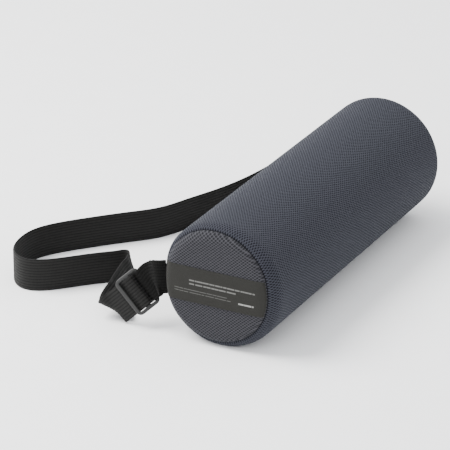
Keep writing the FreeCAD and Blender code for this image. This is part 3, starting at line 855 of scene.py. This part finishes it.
def build_teeth(side, sign, shift, material):
    """One row of coil teeth; shift, as a share of the pitch, makes the two rows mesh."""
    out = RADIUS + 0.28 * MM
    runs = []
    for step in range(int(2 * ZIP_END / TOOTH_PITCH)):
        x = -ZIP_END + (step + 0.5 + shift) * TOOTH_PITCH
        if x <= ZIP_END - 0.3 * MM:
            runs.append((zip_point(x - 0.16 * MM, out, sign * -0.25 * MM),
                         zip_point(x + 0.16 * MM, out - 0.05 * MM, sign * 1.75 * MM)))
    normals = [Vector((0, cos(ZIP_ANGLE), sin(ZIP_ANGLE)))] * len(runs)
    teeth = capsules(f"zip_coil_{side}", runs, 0.36 * MM, material, 1.5, normals, bow=0.1 * MM)
    finish_piece(teeth, "roll", f"zip_teeth_{side}")


def build_zip_stitches(side, sign, tree, material):
    """The row of stitches that holds one tape, laid on the sleeve's cloth."""
    turn = ZIP_ANGLE + sign * (SLIT_HALF_WIDTH + STITCH_INSET) / RADIUS
    out = Vector((0, cos(turn), sin(turn)))
    runs = []
    for step in range(STITCHES):
        x = -SLIT_END + 1.2 * MM + step * STITCH_PITCH
        ends = []
        for end in (x, x + STITCH_LENGTH):
            hit, *_ = tree.ray_cast(Vector((end, 0, AXIS_Z)) + out * (RADIUS + 10 * MM), -out)
            ends.append(hit + out * 0.12 * MM)
        runs.append(tuple(ends))
    row = capsules(f"zip_stitches_{side}", runs, 0.24 * MM, material, 1.0, [out] * STITCHES, bow=-0.08 * MM)
    finish_piece(row, "roll", f"zip_stitch_row_{side}")


def build_zip(sleeve, thread):
    tree = surface_of(sleeve)
    tape = tape_cloth()
    coil = moulded_plastic("nylon_coil", rgb(0.006, 0.006, 0.007), rgb(0.03, 0.03, 0.032), 0.38)
    for side, sign, shift in (("upper", 1, 0.0), ("lower", -1, 0.49)):
        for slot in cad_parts[f"zip_tape_{side}"].material_slots:
            slot.material = tape
        build_teeth(side, sign, shift, coil)
        build_zip_stitches(side, sign, tree, thread)
    metal = enamelled_metal()
    bevelled_copy("zip_slider_body", "zip_slider", 0.35 * MM, metal)
    bevelled_copy("zip_pull_tab", "zip_pull", 0.32 * MM, metal)
    for stop in ("zip_top_stop_upper", "zip_top_stop_lower", "zip_bottom_stop"):
        bevelled_copy(stop, "roll", 0.3 * MM, metal)


def bevelled_copy(node, body, width, material):
    """A cast metal CAD piece, copied with its edges rounded."""
    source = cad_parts[node]
    mesh = source.data.copy()
    mesh.transform(source.matrix_world)
    repair(mesh, weld=True, join_flat=True)
    mesh.materials.clear()
    mesh.materials.append(material)
    piece = add_object(node + "_cast", mesh)
    bevel = piece.modifiers.new("edges", "BEVEL")
    bevel.width, bevel.segments = width, 3
    bevel.limit_method, bevel.angle_limit = "ANGLE", radians(30)
    apply_modifiers(piece)
    piece.data.shade_smooth()
    finish_piece(piece, body, node)


# ---- webbing and buckle

WIDTH, THICK = 25 * MM, 1.5 * MM
RIBS = 11
RIB_STEPS, RIB_DEPTH = 6, 0.30 * MM
STAND = 12.6  # centre height of webbing that stands on its edge, in millimetres
ROLL_AXIS = AXIS_Z / MM
UP = (0, 0, 1)

BUCKLE_CENTRE = Vector((-132.9, 67.3, 26.0))
ALONG_BARS = Vector((0, 0.695, 0.719)).normalized()
BUCKLE_FACE = Vector((-0.806, -0.425, 0.411)).normalized()
ACROSS_BARS = ALONG_BARS.cross(BUCKLE_FACE).normalized()
BUCKLE_FACE = ACROSS_BARS.cross(ALONG_BARS)
BARS = tuple(ALONG_BARS)
FOLD_SIDE = (0.02, 0.95, 0.31)


def at_buckle(across, along, out):
    """A place in the buckle's own axes, in millimetres."""
    return tuple(BUCKLE_CENTRE + ACROSS_BARS * across + ALONG_BARS * along + BUCKLE_FACE * out)


def on_bars(*points):
    return [(at_buckle(*point), BARS) for point in points]


def wrap(across, out, radius, first_turn, last_turn, count):
    """Stations round a bar; turns are in degrees from the across axis."""
    degrees = [first_turn + (last_turn - first_turn) * step / (count - 1) for step in range(count)]
    turns = [radians(turn) for turn in degrees]
    return on_bars(*((across + radius * cos(turn), 0, out + radius * sin(turn)) for turn in turns))


def upright(*centres):
    return [(centre, UP) for centre in centres]


# stations of the webbing in millimetres: (centre, direction of its width)
rear_bend = upright((139.4, 43.8, ROLL_AXIS + 0.3), (140.9, 45.0, ROLL_AXIS), (146.5, 49.5, 43.5),
                    (148.5, 56.5, 38.5), (144.0, 63.5, 33.0))
long_run = upright((134.2, 68.7, 28.4), (112, 77.5, 22), (84, 90, 16), (56, 103, 13.2), (30, 115, STAND),
                   (6, 126, STAND), (-14, 144, STAND), (-36, 164.5, STAND), (-56, 181, STAND),
                   (-74, 190, STAND), (-94, 190.5, STAND), (-112, 183.5, STAND), (-120.5, 170, STAND),
                   (-116, 156, STAND), (-102, 141, STAND), (-88, 127.5, STAND), (-78.5, 117, STAND))
long_run += [((-73.5, 108, STAND + 0.3), (0, 0.25, 1)), ((-79.5, 100.8, STAND + 0.5), (-0.1, 0.4, 1)),
             ((-92, 97.8, STAND), (-0.1, 0.55, 1)), ((-112, 92.5, 10.8), (0, 0.75, 0.85))]
LOOP_RADIUS, LOOP_ACROSS = 2.9, 8.6  # the tab's bend about the inner bar
CLEAR = 0.35  # between webbing and the buckle's bars, or two layers of webbing
BAR_OUT = 1.3 + CLEAR + THICK / MM / 2
TAIL_OUT = -LOOP_RADIUS - THICK / MM - CLEAR
turn_run = [((-126.4, 89.5, 8.7), (0.02, 0.9, 0.45)), (at_buckle(-20.6, 1.0, -17.6), FOLD_SIDE),
            (at_buckle(-21.9, 0.6, -15.4), FOLD_SIDE), (at_buckle(-21.1, 0.3, -12.4), FOLD_SIDE),
            (at_buckle(-18.7, 0.1, -10.0), (0, 0.85, 0.5))]
turn_run += on_bars((-14.6, 0, -6.9), (-10.6, 0, -3.7), (-8.0, 0, -2.6), (-6.3, 0, -2.1), (-4.6, 0, -0.2),
                    (-3.0, 0, 1.65), (-1.7, 0, 2.35), (0, 0, BAR_OUT), (1.6, 0, 2.3), (2.7, 0, 1.4),
                    (3.1, 0, 0), (3.5, 0, -1.6), (4.5, 0, -3.4), (6.6, 0, -4.7), (9.4, 0, TAIL_OUT - 0.1),
                    (15, 0, TAIL_OUT - 0.2), (21, 0, TAIL_OUT - 0.6))
TAB_LEAN = 56.6  # of the tab from the across axis, in degrees
front_layer = upright((-135.3, 41.6, ROLL_AXIS - 1.3), (-136.9, 45.0, ROLL_AXIS - 1.6))
front_layer += [((-137.5, 48.6, 43.3), (0, 0.05, 1)), ((-135.0, 52.6, 41.0), (0, 0.2, 1)),
                ((-133.0, 55.9, 38.2), (0, 0.45, 0.9))]
round_bar = [(at_buckle(8.9, -0.4, 6.4), BARS)]
round_bar += wrap(LOOP_ACROSS, 0, LOOP_RADIUS, TAB_LEAN + 90, TAB_LEAN + 255, 6)
round_bar += [(at_buckle(11.7, -0.3, 2.6), BARS), (at_buckle(12.4, -0.4, 4.9), BARS)]


class WebbingPath:
    """One smooth curve through (centre, direction of the webbing's width) stations, in metres."""

    def __init__(self, stations):
        centres = [Vector(centre) * MM for centre, _ in stations]
        self.sides = [Vector(side).normalized() for _, side in stations]
        self.knots = [0.0]  # centripetal spacing keeps the curve from overshooting beside a tight bend
        for first, second in zip(centres, centres[1:]):
            self.knots.append(self.knots[-1] + sqrt((second - first).length))
        self.value = cubic_through(self.knots, [tuple(c) for c in centres])

    def axes_at(self, place):
        """Centre, width direction and face direction at a place between the first knot and the last."""
        low, high = max(place - 1e-5, 0.0), min(place + 1e-5, self.knots[-1])
        centre = Vector(self.value(place))
        along = (Vector(self.value(high)) - Vector(self.value(low))).normalized()
        span = max(i for i in range(len(self.knots) - 1) if i == 0 or place > self.knots[i])
        share = (place - self.knots[span]) / (self.knots[span + 1] - self.knots[span])
        share = share * share * (3 - 2 * share)
        side = self.sides[span] * (1 - share) + self.sides[span + 1] * share
        side = (side - along * side.dot(along)).normalized()
        return centre, side, along.cross(side)

    def even_places(self, first, last, gap):
        """Places about gap apart along the curve between two stations, and how far along each one lies."""
        fine = np.linspace(self.knots[first], self.knots[last], 2500)
        line = np.array([self.value(t) for t in fine])
        run = np.concatenate([[0], np.cumsum(np.linalg.norm(np.diff(line, axis=0), axis=1))])
        marks = np.linspace(0, run[-1], max(8, int(run[-1] / gap)) + 1)
        return np.interp(marks, run, fine), marks


def rib_profile():
    """The webbing's cross-section with rounded ribs on both faces: (across, out, how high on its rib)."""
    points = []
    count = RIBS * RIB_STEPS
    for face in (1, -1):
        for i in range(count + 1):
            share = i / count
            ridge = abs(sin(pi * share * RIBS)) ** 0.55
            points.append(((share - 0.5) * (WIDTH - 0.5 * MM) * face,
                           (THICK / 2 - RIB_DEPTH * (1 - ridge)) * face, ridge))
        points += [(WIDTH / 2 * face, edge * THICK * face, 0.8) for edge in (0.28, -0.28)]
    return points


def sweep_webbing(name, path, first, last, gap, material, run_before=0.0):
    """The ribbed strip between two stations, and its length; run_before carries the weave on."""
    places, marks = path.even_places(first, last, gap)
    profile = rib_profile()
    wide = len(profile)
    vertices, faces, weave, ribs = [], [], [], []
    for place in places:
        centre, side, face = path.axes_at(float(place))
        vertices += [centre + side * across + face * out for across, out, _ in profile]
    for section in range(len(places) - 1):
        u0, u1 = run_before + marks[section], run_before + marks[section + 1]
        for i in range(wide):
            j = (i + 1) % wide
            a, b = section * wide + i, section * wide + j
            faces.append((a, b, b + wide, a + wide))
            weave += [(u0, profile[i][0]), (u0, profile[j][0]), (u1, profile[j][0]), (u1, profile[i][0])]
            ribs += [(profile[i][2], 0), (profile[j][2], 0), (profile[j][2], 0), (profile[i][2], 0)]
    for base, order in ((0, -1), ((len(places) - 1) * wide, 1)):
        faces.append(tuple(base + i for i in range(wide))[::order])
        weave += [(run_before, 0)] * wide
        ribs += [(0.3, 0)] * wide
    return make_object(name, vertices, faces, material, {"weave": weave, "ribs": ribs}), marks[-1]


def back_of_tab():
    """The tab's second layer: behind the first, from the buckle back up to the seam."""
    front_path = WebbingPath(front_layer + round_bar[:1])
    layer = []
    for place, (_, side) in zip(front_path.knots, front_layer):
        centre, _, face = front_path.axes_at(place)
        behind = face if face.x > 0 else -face
        layer.append((tuple((centre + behind * (THICK + CLEAR * MM)) / MM), side))
    return layer[::-1]


def build_webbing():
    # the tab is the same webbing painted at 0.4 of its brightness: painted shade
    cloth, tab_cloth_painted_shade = webbing_cloth("ribbed_webbing", 1.0), webbing_cloth("tab_webbing_painted_shade", 0.4)
    strap = WebbingPath(rear_bend + long_run + turn_run)
    fold = len(rear_bend) + len(long_run)
    gap = 1.1 * MM
    long_strap, run = sweep_webbing("webbing_strap", strap, 0, fold, gap, cloth)
    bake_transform(long_strap)
    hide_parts("strap_webbing", "strap_rear_bend")
    turn_piece, _ = sweep_webbing("webbing_turn", strap, fold, len(strap.knots) - 1, gap * 0.45, cloth, run)
    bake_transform(turn_piece)
    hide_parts("strap_adjuster_turn")
    tab_path = WebbingPath(front_layer + round_bar + back_of_tab())
    tab, _ = sweep_webbing("webbing_tab", tab_path, 0, len(tab_path.knots) - 1, gap * 0.45, tab_cloth_painted_shade)
    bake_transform(tab)
    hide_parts("strap_tab")


def rounded_rectangle(curve, x_low, x_high, y_low, y_high, radius, steps=8):
    """Adds a closed rounded rectangle to a flat curve."""
    points = []
    corners = [(x_high - radius, y_high - radius, 0), (x_low + radius, y_high - radius, 1),
               (x_low + radius, y_low + radius, 2), (x_high - radius, y_low + radius, 3)]
    for x, y, quarter in corners:
        for step in range(steps + 1):
            turn = (quarter + step / steps) * pi / 2
            points.append((x + radius * cos(turn), y + radius * sin(turn)))
    spline = curve.splines.new("POLY")
    spline.points.add(len(points) - 1)
    for point, (x, y) in zip(spline.points, points):
        point.co = (x, y, 0, 1)
    spline.use_cyclic_u = True


def build_buckle():
    """The tri-glide: a moulded plate with round edges, and a slot on each side of its middle bar."""
    short, long, thick = 20 * MM, 31 * MM, 2.6 * MM
    slot_short, slot_long, pitch = 5.6 * MM, 26 * MM, 8.9 * MM
    round_edge = 0.75 * MM
    lip = round_edge * 0.8
    curve = bpy.data.curves.new("buckle_outline", "CURVE")
    curve.dimensions, curve.fill_mode = "2D", "BOTH"
    rounded_rectangle(curve, -short / 2 + round_edge, short / 2 - round_edge,
                      -long / 2 + round_edge, long / 2 - round_edge, 3.4 * MM)
    for side in (-1, 1):
        middle = side * pitch / 2
        rounded_rectangle(curve, middle - slot_short / 2 - lip, middle + slot_short / 2 + lip,
                          -slot_long / 2 - lip, slot_long / 2 + lip, 1.5 * MM, 4)
    curve.extrude = thick / 2 - round_edge
    curve.bevel_depth, curve.bevel_resolution = round_edge, 4
    holder = add_object("buckle_curve", curve)
    mesh = bpy.data.meshes.new_from_object(evaluated(holder))
    bpy.data.objects.remove(holder)
    axes = Matrix((ACROSS_BARS, ALONG_BARS, BUCKLE_FACE)).transposed().to_4x4()
    axes.translation = BUCKLE_CENTRE * MM
    mesh.transform(axes)
    mesh.materials.clear()
    plastic = moulded_plastic("satin_buckle", rgb(0.0045, 0.0044, 0.004), rgb(0.019, 0.018, 0.0155), 0.5)
    mesh.materials.append(plastic)
    mesh.name = "tri_glide"
    repair(mesh, weld=True, face_out=True)
    mesh.shade_smooth()
    finish_piece(add_object("tri_glide", mesh), "buckle", "tri_glide_buckle")


# ---- everything

make_camera()
make_studio()
# this thread material also paints the shade in the seams' grooves and gaps
seam_thread = thread_and_seam_shade_material()
cover, sleeve, front_panel = build_cover(seam_thread)
build_seam_stitches(cover, cover.front_seam, "front_stitches", "front_seam_thread", 96, seam_thread)
build_seam_stitches(cover, cover.rear_seam, "rear_stitches", "rear_seam_thread", 100, seam_thread)
build_label(cover, front_panel)
build_zip(sleeve, seam_thread)
build_webbing()
build_buckle()
core_finish = foam_material()
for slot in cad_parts["foam_core"].material_slots:
    slot.material = core_finish
